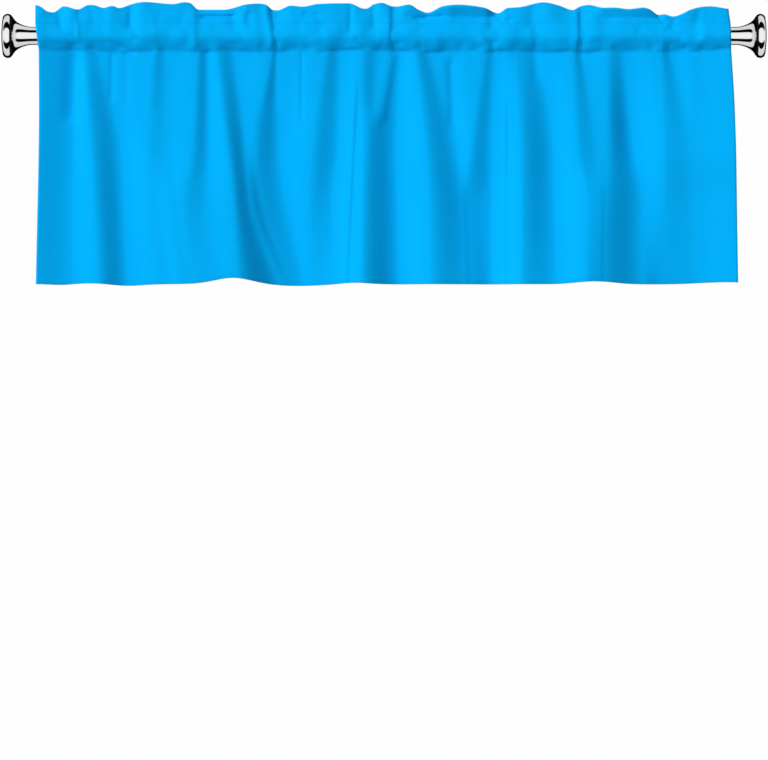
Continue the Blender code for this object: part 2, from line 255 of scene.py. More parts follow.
# Creases pressed into the front layer, and soft ridges with a negative depth: (x, z) at the upper end
# and the lower, half width of the trough, depth, and its half width on the right where that differs
Crease = namedtuple("Crease", "start stop reach depth right", defaults=(None,))
CREASES = (
    # Ridges down the heading's deepest gathers, and the falls at their right
    Crease((-309, 40), (-310, -17), 8.0, -3.0, 6.0),
    Crease((-192, 46), (-184, -12), 8.0, -3.6, 6.0),
    Crease((8.5, 42), (7.5, -12), 8.0, -3.2, 6.0),
    Crease((313.5, 38), (315.5, -5), 11.0, -3.4, 5.5),
    Crease((-183.5, 46), (-176, -10), 3.4, 1.1, 13.0),
    Crease((13.5, 42), (13, -8), 3.4, 0.9, 10.0),
    Crease((319.5, 36), (320.5, -5), 3.4, 1.2, 13.0),
    # Gathers and tucks in the heading, some of them running down into the pocket
    Crease((53, 29), (68, 29), 3.4, 2.8),
    Crease((50, 27), (59, 25.5), 4.0, 1.8),
    Crease((-413, 45), (-413, 8), 5.0, 4.4, 14.0),
    Crease((447, 31), (456, 22), 3.2, 2.2, 6.0),
    Crease((464, 28), (476, 24), 3.2, 2.4),
    Crease((466, 8), (492, -18), 8.0, 2.4, 5.0),
    Crease((418, 10), (436, -14), 8.0, 1.8, 5.0),
    Crease((-54, 47), (-55, 10), 4.6, 2.2),
    Crease((-15, 42), (-16, 12), 7.0, 3.0, 12.0),
    Crease((-531, 42), (-529, 18), 4.4, 3.0, 11.0),
    Crease((-474, 40), (-472, 22), 8.0, 1.2),
    Crease((-497, 44), (-499, 32), 4.0, 1.4, 8.0),
    Crease((-368, 28), (-370, 20), 6.0, 0.9),
    Crease((-330, 40), (-331, 20), 8.0, 1.2),
    Crease((-222, 33), (-222, 24), 5.0, 3.4, 9.0),
    Crease((-245, 30), (-245, 15), 9.0, 2.8, 15.0),
    Crease((-174, 33), (-173, 29), 4.0, 1.0),
    Crease((-128, 36), (-108, 32), 4.0, 2.8),
    Crease((-104, 21), (-102, 18), 7.0, 0.8),
    Crease((58, 4), (60, -20), 6.0, 1.2),
    Crease((175, 36), (174, -6), 5.5, 2.4, 14.0),
    Crease((66, 29.5), (94, 32), 3.0, 2.2),
    Crease((176, 35), (191, 30), 4.0, 3.0),
    Crease((189, 25), (205, 24), 3.2, 2.6),
    Crease((242, 42), (243, 18), 10.0, 3.6, 20.0),
    Crease((248, 10), (248, -15), 5.0, 1.2),
    Crease((462, 22), (468, 18), 2.5, 0.9),
    Crease((472, 24), (471, -8), 4.5, 1.4),
    Crease((511, 38), (512, 0), 7.0, 2.2),
    # Slanting tucks and slight ridges on the pocket
    Crease((-453, -7), (-410, -26), 4.4, 3.0),
    Crease((-403, -3), (-377, -22), 4.2, 2.8),
    Crease((-44, -6), (-34, -17), 4.4, 1.6),
    Crease((480, -20), (502, -24), 5.0, 2.4),
    Crease((-500, 18), (-499, -6), 3.6, -1.2),
    Crease((187, 26), (185, -18), 5.0, -0.8),
    Crease((-168, 20), (-166, -14), 4.5, -0.4),
    Crease((-296, 31.4), (-246, 31.2), 3.0, 4.6),
    # Skirt
    Crease((-507, -40), (-510, -125), 15.0, 5.2, 13.0),
    Crease((-374, -18), (-380, -110), 13.0, -1.2, 8.0),
    Crease((-444, -32), (-445, -100), 4.5, 1.9),
    Crease((-420, -27), (-420, -105), 6.0, 1.0),
    Crease((-178, -32), (-180, -105), 10.0, 1.2, 9.0),
    Crease((-134, -27), (-134, -136), 3.4, 1.2),
    Crease((-16, -30), (-20, -110), 11.0, 2.6, 14.0),
    Crease((11.5, -34), (-4, -130), 13.0, -3.2, 8.0),
    Crease((-40, -62), (-57, -401), 4.0, 2.8, 14.0),
    Crease((109, -46), (113, -140), 7.0, 3.7, 11.0),
    Crease((203, -83), (203, -401), 4.0, 2.3, 14.0),
    Crease((218, -24), (219, -36), 13.0, 2.0, 22.0),
    Crease((240, -34), (244, -46), 22.0, 1.4, 16.0),
    Crease((245, -26), (250, -66), 9.0, 2.0, 11.0),
    Crease((496, -15), (506, -95), 14.0, -1.2),
    Crease((473, -34), (490, -100), 26.0, 1.3, 14.0),
)
LONG_CREASE = 150.0                     # a crease longer than this deepens from its upper end
FADE_IN = 70.0                          # and reaches its full depth over this length

# Hollows pressed into the pocket's underside by the gathers, and bulges with a negative depth:
# x of the middle, half width, depth
HOLLOWS = (
    (-550, 9, 0.8), (-521, 8, 0.8), (-502, 6, -1.0), (-476, 9, 2.8), (-433, 9, 3.0), (-408, 8, -1.2),
    (-366, 12, -0.4), (-334, 10, 1.0), (-300, 7, 1.4), (-288, 8, -1.0), (-259, 9, 1.8), (-234, 7, -0.8),
    (-201, 8, 2.4), (-169, 6, -0.6), (-146, 12, 2.4), (-119, 9, 3.2), (-83, 9, 0.9), (-54, 9, -1.6),
    (-28, 8, 3.0), (-5, 8, 2.2), (32, 8, -1.4), (57, 9, 3.2), (86, 12, -0.6), (126, 8, 2.2),
    (157, 9, 3.6), (186, 7, -0.8), (210, 10, 1.4), (247, 9, 1.3), (288, 18, -1.4), (346, 14, -2.4),
    (379, 9, 2.6), (400, 8, 0.8), (420, 8, 2.0), (440, 8, 2.2), (490, 10, 4.4), (521, 10, 3.2),
    (551, 9, 1.3),
)
HOLLOW_STRENGTH = 0.85                  # share of those depths that is pressed in
HOLLOW_HEIGHT = -20.0                   # where they are deepest
HOLLOW_RISE = 7.0                       # how fast they fade above and below that

# Small wrinkles left all over the gathered cloth
WRINKLES = 26
WRINKLE_LENGTHS = (16.0, 60.0)          # shortest and longest
WRINKLE_SLOPE = 0.018                   # steepest part of each
WRINKLE_SEED = 7
WRINKLE_TURN = 0.9                      # spread of the directions that they run in, in radians
WRINKLES_FADE = (-30.0, 6.5)            # they are half gone at this height, and fade this fast below it


def smooth_through(knots, values, x):
    """A curve through the knots that never overshoots them.

    Each piece is a cubic whose end slopes are the weighted harmonic mean of the chords at both
    sides, and nothing where the chords change sign.  Knots may differ from row to row of x.
    """
    knots = np.asarray(knots, float)
    values = np.asarray(values, float)
    step = np.diff(knots, axis=0)
    chord = np.diff(values, axis=0) / step
    turns = chord[:-1] * chord[1:] <= 0
    before = np.where(turns, 1.0, chord[:-1])
    after = np.where(turns, 1.0, chord[1:])
    weight_before = 2 * step[1:] + step[:-1]
    weight_after = step[1:] + 2 * step[:-1]
    mean = (weight_before + weight_after) / (weight_before / before + weight_after / after)
    slope = np.concatenate((chord[:1], np.where(turns, 0.0, mean), chord[-1:]))
    result = np.broadcast_to(values[0], np.shape(x)).copy()
    for i in range(len(step)):
        t = np.clip((x - knots[i]) / step[i], 0, 1)
        piece = ((1 + 2 * t) * (1 - t) ** 2 * values[i] + t * (1 - t) ** 2 * step[i] * slope[i]
                 + t * t * (3 - 2 * t) * values[i + 1] + t * t * (t - 1) * step[i] * slope[i + 1])
        result = np.where(x >= knots[i], piece, result)
    return result


def down_the_skirt(values, drop):
    """A fold line's value at each drop, through its values at the four heights."""
    knots = np.array(FOLD_DROP)[:, None]
    return smooth_through(knots, np.array(values, float)[:, None], drop)


def skirt_out(x, drop):
    """How far the skirt stands forward: crests and valleys joined by falls and straightened rises.

    x is (rows, columns), and drop is one share of the skirt's drop for each row.
    """
    places, forward = [], []
    for fold, following in zip(FOLDS, FOLDS[1:] + (None,)):
        valley_x = down_the_skirt(fold.valley_x, drop)
        valley_out = down_the_skirt(fold.valley_out, drop)
        places += [down_the_skirt(fold.crest_x, drop), valley_x]
        forward += [down_the_skirt(fold.crest_out, drop), valley_out]
        if following:
            reach = down_the_skirt(following.crest_x, drop) - valley_x
            rise = down_the_skirt(following.crest_out, drop) - valley_out
            for share, height in ((CORNER, CORNER_RISE), (1 - CORNER, 1 - CORNER_RISE)):
                places.append(valley_x + share * reach)
                forward.append(valley_out + height * rise)
    return SKIRT_FORWARD + smooth_through(np.array(places)[..., None], np.array(forward)[..., None], x)


def top_edge(x):
    """Height of the heading's top edge, a smooth line through its points."""
    places, heights = zip(*TOP_EDGE)
    return smooth_through(places, heights, x)


def heading_out(x):
    """How far the top edge stands forward: back at a gather, out in the middle of a puff."""
    places = [place for puff in PUFFS for place in (puff.gather, puff.peak)]
    outs = [out for puff in PUFFS for out in (puff.gather_out, puff.peak_out)]
    return smooth_through(places, outs, x)


def rolled(x, z):
    """How far the heading rolls forward above its lines: a straight ramp with soft ends along x."""
    forward = 0
    for roll in ROLLS:
        inside = np.tanh((x - roll.start) / ROLL_SOFTNESS) - np.tanh((x - roll.stop) / ROLL_SOFTNESS)
        ramp = np.clip((z - roll.height) / ROLL_HEIGHT, 0, ROLL_LIMIT)
        forward = forward + roll.forward * inside / 2 * ramp
    return forward


def hem_edge(x):
    """Height of the hem: a level line and a Gaussian bump for each wave."""
    return HEM + sum(rise * np.exp(-2 * ((x - place) / reach) ** 2) for place, reach, rise in HEM_WAVES)


def lower_seam(x):
    """Height of the lower seam: its level and a smooth line through the rises of its stretches."""
    places, rises, _ = zip(*LOWER_STRETCHES)
    return LOWER_SEAM + smooth_through(places, rises, x)


def lip_share(x):
    """How much the pocket rolls over the lower seam, from nothing to 1, smooth through its values."""
    places, _, lips = zip(*LOWER_STRETCHES)
    return smooth_through(places, lips, x)


def skirt_edges(drop):
    """X of the skirt's left and right side edges at a share of its drop."""
    return [smooth_through(EDGE_DROP, (edge.seam, edge.quarter, edge.hem), drop)
            for edge in (LEFT_EDGE, RIGHT_EDGE)]


def skirt_x(u, drop):
    """X of the columns at each share of the skirt's drop."""
    left, right = skirt_edges(drop[:, None])
    return left + u * (right - left)


def heading_x(u, share):
    """X of the columns at each share of the way from the lower seam to the top edge."""
    left, right = (np.interp(share, (0, SEAM_SHARE, 1), (edge.seam, edge.upper, edge.top))[:, None]
                   for edge in (LEFT_EDGE, RIGHT_EDGE))
    return left + u * (right - left)


def creased(x, z):
    """Depth of the creases at a point: the sum of a Gaussian trough round each crease's line.

    A trough may be wider on one side of its line than on the other, and a long crease deepens
    evenly from its upper end.
    """
    depth = np.zeros_like(x)
    for crease in CREASES:
        start = np.array(crease.start, float)
        run = np.array(crease.stop, float) - start
        length = np.hypot(*run)
        share = np.clip(((x - start[0]) * run[0] + (z - start[1]) * run[1]) / (run @ run), 0, 1)
        away = np.hypot(x - start[0] - share * run[0], z - start[1] - share * run[1])
        on_right = run[0] * (z - start[1]) - run[1] * (x - start[0]) > 0
        reach = np.where(on_right, crease.right or crease.reach, crease.reach)
        grown = np.clip(share * length / FADE_IN, 0, 1) if length > LONG_CREASE else 1
        depth += grown * crease.depth * np.exp(-(away / reach) ** 2)
    return depth


def hollows(x, z):
    """Depth of the hollows above the lower seam: Gaussian dimples on a line."""
    depth = sum(deep * np.exp(-((x - place) / reach) ** 2) for place, reach, deep in HOLLOWS)
    return HOLLOW_STRENGTH * depth * np.exp(-((z - HOLLOW_HEIGHT) / HOLLOW_RISE) ** 2)


def wrinkled(x, z):
    """Height of the small wrinkles: a sum of sine waves of seeded lengths and turns, mostly upright.

    It fades away down the skirt on a logistic curve.
    """
    seeded = np.random.default_rng(WRINKLE_SEED)
    height = 0
    for _ in range(WRINKLES):
        length = seeded.uniform(*WRINKLE_LENGTHS)
        turn = seeded.normal(0, WRINKLE_TURN)
        phase = seeded.uniform(0, 2 * pi)
        wave = (x * np.cos(turn) + z * np.sin(turn)) * 2 * pi / length + phase
        height = height + WRINKLE_SLOPE * length / (2 * pi) * np.sin(wave)
    return height / (1 + np.exp((WRINKLES_FADE[0] - z) / WRINKLES_FADE[1]))


def seam_out(x, upper):
    """How far forward both layers lie at a seam, beside its creases."""
    return heading_out(x) * PUFF_AT_SEAM + SEAM_FORWARD if upper else skirt_out(x, np.zeros(len(x)))


def seam_place(x, upper):
    """Y and height of the place where both layers meet at a seam, pressed back by its creases."""
    z = np.full_like(x, UPPER_SEAM) if upper else lower_seam(x)
    return creased(x, z) - wrinkled(x, z) - seam_out(x, upper), z


def skirt_rows(u, drop):
    """The skirt's front layer at each share of its drop, measured from the lower seam to the hem.

    It stands forward by its folds, is pressed back by its creases, and ripples with the wrinkles.
    """
    x = skirt_x(u, drop)
    seam = lower_seam(x)
    z = seam + drop[:, None] * (hem_edge(x) - seam)
    y = -LAYER_OFFSET - skirt_out(x, drop) + creased(x, z) - wrinkled(x, z)
    return x, y, z


def hem_turning(u):
    """The turned-up hem, which lies right behind the skirt, then the half round of the hem's edge."""
    share = 1 - HEM_TURNING / (LOWER_SEAM - HEM)
    x, y, z = skirt_rows(u, np.linspace(share, 1, HEM_ROWS))
    behind = x, y + 2 * HEM_ROUND, z
    angle = np.linspace(0, pi, HEM_EDGE_ROWS + 2)[1:-1, None]
    edge = (np.repeat(x[-1:], HEM_EDGE_ROWS, axis=0), y[-1] + HEM_ROUND * (1 + np.cos(angle)),
            z[-1] - HEM_ROUND * np.sin(angle))
    return behind, edge


def softly_least(first, second, softness):
    """The lesser of two values, with a hyperbola's turn between them."""
    return (first + second - np.hypot(first - second, softness)) / 2


def outside_rod(out, x, height):
    """The distance from the rod's plane, kept clear of the rod and of the collars on its ends.

    The least distance is the rod's round, and past its steepest place the tangent there.
    """
    over_collar = np.clip((np.abs(x) - ROD_LENGTH / 2 + COLLAR_DEPTH) / COLLAR_EASE + 1, 0, 1)
    radius = (ROD_RADIUS + (NECK_RADIUS - ROD_RADIUS) * over_collar
              + POCKET_CLEARANCE + CLOTH_THICKNESS / 2)
    place = np.abs(height) / radius
    tangent = (1 - place * np.sin(STEEPEST)) / np.cos(STEEPEST)
    round_part = np.sqrt(1 - np.minimum(place, 1) ** 2)
    least = radius * np.where(place < np.sin(STEEPEST), round_part, tangent)
    return -softly_least(-out, -least, ROD_SOFTNESS)


def pocket_rows(u, side, count):
    """One layer of the pocket between the seams.

    It bellies out from the lower seam, turns softly, and leans in to the upper seam, which lies in
    front of the rod.  It swells between gathers and stays clear of the rod.
    """
    share = np.linspace(0, 1, count + 2)[1:-1, None]
    x = heading_x(u, SEAM_SHARE * share[:, 0])
    seam = lower_seam(x)
    height = seam + share * (UPPER_SEAM - seam)
    lip = LIP * lip_share(x)
    belly = BELLY_SLOPE * (height - seam) + lip * (1 - np.exp((seam - height) / LIP_HEIGHT))
    lean = POCKET_SLOPES[side] * (UPPER_SEAM - height) - side * SEAM_FORWARD
    forward = heading_out(x)
    outs = [puff.gather_out for puff in PUFFS] + [puff.peak_out for puff in PUFFS]
    swell = POCKET_PUFF * (forward - min(outs)) / (max(outs) - min(outs)) * np.sin(pi * share)
    if side < 0:
        lower, upper = seam_out(x, False), seam_out(x, True)
        relief = wrinkled(x, height) - creased(x, height) - hollows(x, height)
    else:
        lower, upper = -seam_place(x, False)[0], -seam_place(x, True)[0]
        relief = 0
    drift = lower * (1 - share) ** 2 + (upper - SEAM_FORWARD) * share ** 2
    out = LAYER_OFFSET + softly_least(belly, lean, POCKET_ROUND) + swell - side * drift + relief
    return x, side * outside_rod(out, x, height), height


def heading_lean(x, z, share):
    """How far the middle of the heading stands forward, a share of the way from its seam to its top.

    It leans back in a straight line, and the puffs, which grow upwards, rolls and wrinkles are added.
    """
    straight = SEAM_FORWARD + share * (TOP_FORWARD - SEAM_FORWARD)
    puffed = heading_out(x) * (PUFF_AT_SEAM + (1 - PUFF_AT_SEAM) * share)
    return straight + puffed + rolled(x, z) + wrinkled(x, z)


def heading_rows(u, side, count):
    """One layer of the heading, from just above the upper seam to the foot of the fold.

    It stands off the heading's middle by a half sine wave's swell, and opens on a parabola to the
    fold's radius.
    """
    share = np.arange(1, count + 1) / count
    x = heading_x(u, SEAM_SHARE + (1 - SEAM_SHARE) * share)
    share = share[:, None]
    z = UPPER_SEAM + share * (top_edge(x) - FOLD_RADIUS - UPPER_SEAM)
    swell = LAYER_OFFSET + HEADING_PUFF * np.sin(pi * share) + (FOLD_RADIUS - LAYER_OFFSET) * share ** 2
    depth = creased(x, z)
    if side > 0:
        depth = np.maximum(depth, creased(x, np.full_like(x, UPPER_SEAM)) * (1 - share) ** 2)
    return x, side * swell - heading_lean(x, z, share) + depth, z


def fold_rows(u):
    """The heading's turn at its top, a half round from the front layer to the back."""
    x = np.repeat(heading_x(u, np.ones(1)), FOLD_ROWS, axis=0)
    angle = np.linspace(0, pi, FOLD_ROWS + 2)[1:-1, None]
    z = top_edge(x) - FOLD_RADIUS * (1 - np.sin(angle))
    foot = top_edge(x) - FOLD_RADIUS
    return x, -FOLD_RADIUS * np.cos(angle) - heading_lean(x, foot, 1) + creased(x, foot), z


def seam_row(u, upper, side):
    """One layer along a seam, on its side of the place where both meet."""
    x = heading_x(u, np.array([SEAM_SHARE])) if upper else skirt_x(u, np.zeros(1))
    y, z = seam_place(x, upper)
    return x, side * LAYER_OFFSET + y, z


def tail_row(u):
    """The cut edge of the turning, just below the lower seam and one layer behind the skirt."""
    x, y, z = skirt_rows(u, np.array([TAIL_DROP]))
    return x, y + 2 * LAYER_OFFSET, z


def share_of_width(x, z):
    """A point's share of the way from the panel's left side to its right, at its own height."""
    left, right = skirt_edges(np.clip((LOWER_SEAM - z) / (LOWER_SEAM - HEM), 0, 1))
    return (x - left) / (right - left)


def column_shares():
    """Shares of the width at the columns, closer together where narrow upright creases run.

    The columns are even steps of a running sum, which grows faster round such a crease.
    """
    share = np.linspace(0, 1, SHARE_STEPS)
    reach = CROWD_REACH / (RIGHT_EDGE.seam - LEFT_EDGE.seam)
    crowd = np.zeros_like(share)
    for crease in CREASES:
        if crease.reach <= NARROW and abs(crease.start[1] - crease.stop[1]) > CROWD_REACH:
            ends = share_of_width(*crease.start), share_of_width(*crease.stop)
            for place in np.linspace(*ends, CREASE_PLACES):
                crowd = np.maximum(crowd, np.exp(-((share - place) / reach) ** 2))
    passed = np.cumsum(1 + CROWDING * crowd)
    passed -= passed[0]
    return np.interp(np.linspace(0, passed[-1], COLUMNS + 1), passed, share)[None, :]


def downwards(rows):
    """The same rows from the top down."""
    return tuple(part[::-1] for part in rows)


def lengths_along(line):
    """The length from a line's start to each of its points."""
    return np.concatenate(([0], np.cumsum(np.linalg.norm(np.diff(line, axis=0), axis=1))))


def smooth_mesh(name, points, faces):
    """A smooth-shaded mesh, from points in millimetres."""
    mesh = bpy.data.meshes.new(name)
    mesh.from_pydata(points.reshape(-1, 3) * MM, [], faces)
    mesh.shade_smooth()
    return mesh


def cloth_mesh(name, points, uv):
    """Quads on a grid of rows and columns of points, with the cloth's map in metres."""
    rows, columns = points.shape[:2]
    index = np.arange(rows * columns).reshape(rows, columns)
    corners = np.stack((index[:-1, :-1], index[:-1, 1:], index[1:, 1:], index[1:, :-1]), axis=-1)
    faces = corners.reshape(-1, 4)
    mesh = smooth_mesh(name, points, faces)
    layer = mesh.uv_layers.new(name=CLOTH_MAP)
    layer.data.foreach_set("uv", uv.reshape(-1, 2)[faces.ravel()].astype(np.float32).ravel())
    return mesh


def ring_faces(rings, sides):
    """Quads between the rings of a tube, as indices of its points, ring after ring."""
    index = np.arange(rings * sides).reshape(rings, sides)
    following = np.roll(index, -1, axis=1)
    return np.stack((index[:-1], following[:-1], following[1:], index[1:]), axis=-1).reshape(-1, 4)


def add_piece(mesh, finish):
    """An object for a finished mesh, at the origin."""
    mesh.materials.append(finish)
    piece = bpy.data.objects.new(mesh.name, mesh)
    bpy.context.scene.collection.objects.link(piece)
    return piece


def cloth_panel(finish):
    """The whole panel, from the hem's turning up the front, over the heading and down to its tail."""
    u = column_shares()
    behind, edge = hem_turning(u)
    drop = (np.arange(SKIRT_ROWS, -1, -1) / SKIRT_ROWS) ** ROW_CROWDING
    drop = np.append(drop[:-2], [TAIL_DROP / 2, 0])
    rows = [behind, edge, skirt_rows(u, drop), pocket_rows(u, -1, POCKET_ROWS), seam_row(u, True, -1),
            heading_rows(u, -1, HEADING_ROWS), fold_rows(u),
            downwards(heading_rows(u, 1, BACK_HEADING_ROWS)), seam_row(u, True, 1),
            downwards(pocket_rows(u, 1, BACK_POCKET_ROWS)), seam_row(u, False, 1), tail_row(u)]
    x, y, z = (np.concatenate([np.broadcast_to(part[axis], part[0].shape) for part in rows])
               for axis in range(3))
    points = np.stack((x, y, z), axis=-1)
    length = lengths_along(points[:, COLUMNS // 2, 1:])
    uv = np.stack(np.broadcast_arrays(u * FLAT_SIZE[0], length[:, None] * MM), axis=-1)
    panel = add_piece(cloth_mesh("valance_cloth", points, uv), finish)
    panel.visible_glossy = False
    wall = panel.modifiers.new("thickness", "SOLIDIFY")
    wall.thickness = CLOTH_THICKNESS * MM
    wall.offset = 0
    wall.use_even_offset = True
    return panel


def stitch_line(upper, side):
    """The line that a row of stitches follows, on the outside of one layer at a seam."""
    u = np.linspace(0, 1, LINE_STEPS)[None, :]
    x, y, z = (part[0] for part in seam_row(u, upper, side))
    return np.stack((x, y + side * THREAD_OFFSET, z), axis=-1)


def hem_stitch_line():
    """The same for the row that holds the hem's turning, behind."""
    u = np.linspace(0, 1, LINE_STEPS)[None, :]
    behind, _ = hem_turning(u)
    line = np.stack([part[0] for part in behind], axis=-1)
    return line + np.array([0, THREAD_OFFSET, -HEM_STITCH_DROP])


def set_out(line):
    """Middles and directions of the stitches on a line, at even lengths along it."""
    length = lengths_along(line)
    places = np.arange(STITCH_PITCH, length[-1] - STITCH_PITCH, STITCH_PITCH)
    middles, ahead = (np.stack([np.interp(at, length, line[:, axis]) for axis in range(3)], axis=-1)
                      for at in (places, places + LOOK_AHEAD))
    ahead -= middles
    return middles, ahead / np.linalg.norm(ahead, axis=1, keepdims=True)


def stitches(name, lines, finish):
    """Rows of short stitches as one mesh.

    Every stitch is the same run of rings round a straight bit of thread.  The square of a ring's
    radius falls off to both ends with the fourth power of its distance from the middle.
    """
    middles, directions = (np.concatenate(part) for part in zip(*(set_out(line) for line in lines)))
    along = np.linspace(-0.5, 0.5, STITCH_RINGS)
    width = THREAD_RADIUS * np.sqrt(1 - STITCH_TAPER * (2 * along) ** 4)
    turn = np.linspace(0, 2 * pi, THREAD_SIDES, endpoint=False)
    side = np.cross(directions, (0.0, 0.0, 1.0))
    side /= np.linalg.norm(side, axis=1, keepdims=True)
    lift = np.cross(side, directions)
    ring = side[:, None, None] * np.cos(turn)[:, None] + lift[:, None, None] * np.sin(turn)[:, None]
    points = (middles[:, None, None] + directions[:, None, None] * along[:, None, None] * STITCH_LENGTH
              + ring * width[:, None, None])
    per_stitch = STITCH_RINGS * THREAD_SIDES
    start = np.arange(len(middles))[:, None] * per_stitch
    faces = (ring_faces(STITCH_RINGS, THREAD_SIDES) + start[..., None]).reshape(-1, 4).tolist()
    for cap in (np.arange(THREAD_SIDES)[::-1], np.arange(per_stitch - THREAD_SIDES, per_stitch)):
        faces += (cap + start).tolist()
    return add_piece(smooth_mesh(name, points, faces), finish)


def turned(name, profile, side, finish):
    """A surface of revolution about the rod: the profile's (x, radius) points run round in a circle.

    side is 1 where x grows to the right, and -1 for the mirrored piece.
    """
    profile = np.array(profile, float)
    angle = np.linspace(0, 2 * pi, ROUND_STEPS, endpoint=False)
    x = np.broadcast_to(side * profile[:, :1], (len(profile), ROUND_STEPS))
    points = np.stack((x, profile[:, 1:] * np.cos(angle), profile[:, 1:] * np.sin(angle)), axis=-1)
    faces = ring_faces(len(profile), ROUND_STEPS)[:, ::-side]      # so that they all face outwards
    piece = add_piece(smooth_mesh(name, points, faces), finish)
    weld = piece.modifiers.new("close the poles", "WELD")
    weld.merge_threshold = WELD_DISTANCE
    return piece


def tube_profile():
    """Round the tube's wall: along the outside, across one end, back along the bore, and closed."""
    half = ROD_LENGTH / 2
    bore = ROD_RADIUS - ROD_WALL
    soft = EDGE_SOFTNESS
    return [(-half + soft, ROD_RADIUS), (half - soft, ROD_RADIUS), (half, ROD_RADIUS - soft),
            (half, bore), (-half, bore), (-half, ROD_RADIUS - soft), (-half + soft, ROD_RADIUS)]


def finial_profile():
    """From the middle of the end face over the bead, down the flare and collar, to the spigot's end.

    The face is a parabola, the bead part of an ellipse, and the flare a parabola with an
    exponential's steep start.
    """
    end = ROD_LENGTH / 2
    rim = end + FINIAL_LENGTH - FACE_RISE
    radius = np.linspace(POLE_RADIUS, FACE_RADIUS, FACE_RINGS)
    face = rim + FACE_RISE * (1 - (radius / FACE_RADIUS) ** 2), radius
    middle = rim - BEAD_HALF_WIDTH * BEAD_SETBACK
    angle = np.linspace(*BEAD_TURN, BEAD_RINGS)
    bead = middle + BEAD_HALF_WIDTH * np.cos(angle), BEAD_RADIUS - BEAD_HEIGHT * (1 - np.sin(angle))
    foot = middle - BEAD_HALF_WIDTH
    bottom = end + JOINT_GAP
    down = np.linspace(0, 1, FLARE_RINGS) ** FLARE_CROWDING * (foot - bottom - NECK_SPACE)
    sweep, start = FLARE_PARTS
    spread = sweep * (1 - down / FLARE_LENGTH) ** 2 + start * np.exp(-down / FLARE_FALL)
    flare = foot - down, NECK_RADIUS + (FLARE_RADIUS - NECK_RADIUS) * spread
    lip = end - COLLAR_DEPTH
    bore = ROD_RADIUS + JOINT_GAP
    spigot = ROD_RADIUS - ROD_WALL - JOINT_GAP
    tip = end - SPIGOT_LENGTH
    collar = ((lip + EDGE_SOFTNESS, NECK_RADIUS), (lip, NECK_RADIUS - EDGE_SOFTNESS), (lip, bore),
              (bottom, bore), (bottom, spigot), (tip, spigot), (tip, POLE_RADIUS))
    return np.concatenate([np.transpose(part) for part in (face, bead, flare)] + [collar])


# Finishes
AZURE = (0.001, 0.43, 0.97)
DEEP_AZURE = (0.001, 0.41, 0.93)        # painted shade between the yarns, and the darker patches of the broad random tone
AZURE_THREAD = (0.003, 0.36, 0.82)
CHROME = (0.88, 0.88, 0.9)
# near-black painted into the chrome's colour in the groove behind each bead: a painted shade and a
# painted dark reflection
GROOVE_PAINTED_SHADE = (0.01, 0.01, 0.01)
GROOVE_PLACE = 0.6078                   # metres from the rod's middle to the groove behind each bead, where a painted shade and a painted dark reflection lie
GROOVE_REACH = 0.0021
HAZE_SCALE = 60.0
CHROME_ROUGHNESS = (0.03, 0.09)         # where it is clear, and where it is hazy
YARN_PITCH = 0.00055                    # metres between yarns of the plain weave
YARN_DEPTH = 0.00012
WEAVE_STRENGTH = 0.35
SLUB_SCALE = 420.0
SLUB_SHARE = 0.6                        # how much uneven yarns add to the weave's height
CLOUD_SCALE = 9.0                       # broad slight changes of shade
YARN_SHADE = 0.25                       # how much the weave's height lightens the colour: a painted shade in the low places between the yarns
DEEP_SHADE, FULL_SHADE = 0.25, 0.85     # the shades where the two azures stand pure
SHEEN_TINT = (0.0, 0.5, 1.0)
TWIST_SCALE = 900.0
TWIST_STRENGTH = 0.4
TWIST_DEPTH = 0.0001


def new_material(name):
    """A node material, its tree and its Principled shader."""
    made = bpy.data.materials.new(name)
    made.use_nodes = True
    tree = made.node_tree
    return made, tree, tree.nodes["Principled BSDF"]


def joined(tree, kind, links=(), **settings):
    """A node with its settings.  A link is an input and what goes into it, a value or a socket."""
    node = tree.nodes.new(kind)
    for key, value in settings.items():
        setattr(node, key, value)
    for socket, source in links:
        if isinstance(source, (int, float, tuple)):
            node.inputs[socket].default_value = source
        else:
            tree.links.new(node.inputs[socket], source)
    return node


def maths(tree, operation, *values):
    """The result of a maths node on numbers and output sockets."""
    return joined(tree, "ShaderNodeMath", enumerate(values), operation=operation).outputs[0]


def mixed(tree, share, first, second):
    """A colour that goes from the first to the second with a socket's share."""
    links = [(0, share), (6, first), (7, second)]
    return joined(tree, "ShaderNodeMix", links, data_type="RGBA").outputs[2]


def set_stops(node, stops):
    """Sets a colour ramp's stops, each its position and its colour."""
    ramp = node.color_ramp.elements
    while len(ramp) < len(stops):
        ramp.new(0.5)
    for element, (position, colour) in zip(ramp, stops):
        element.position = position
        element.color = colour


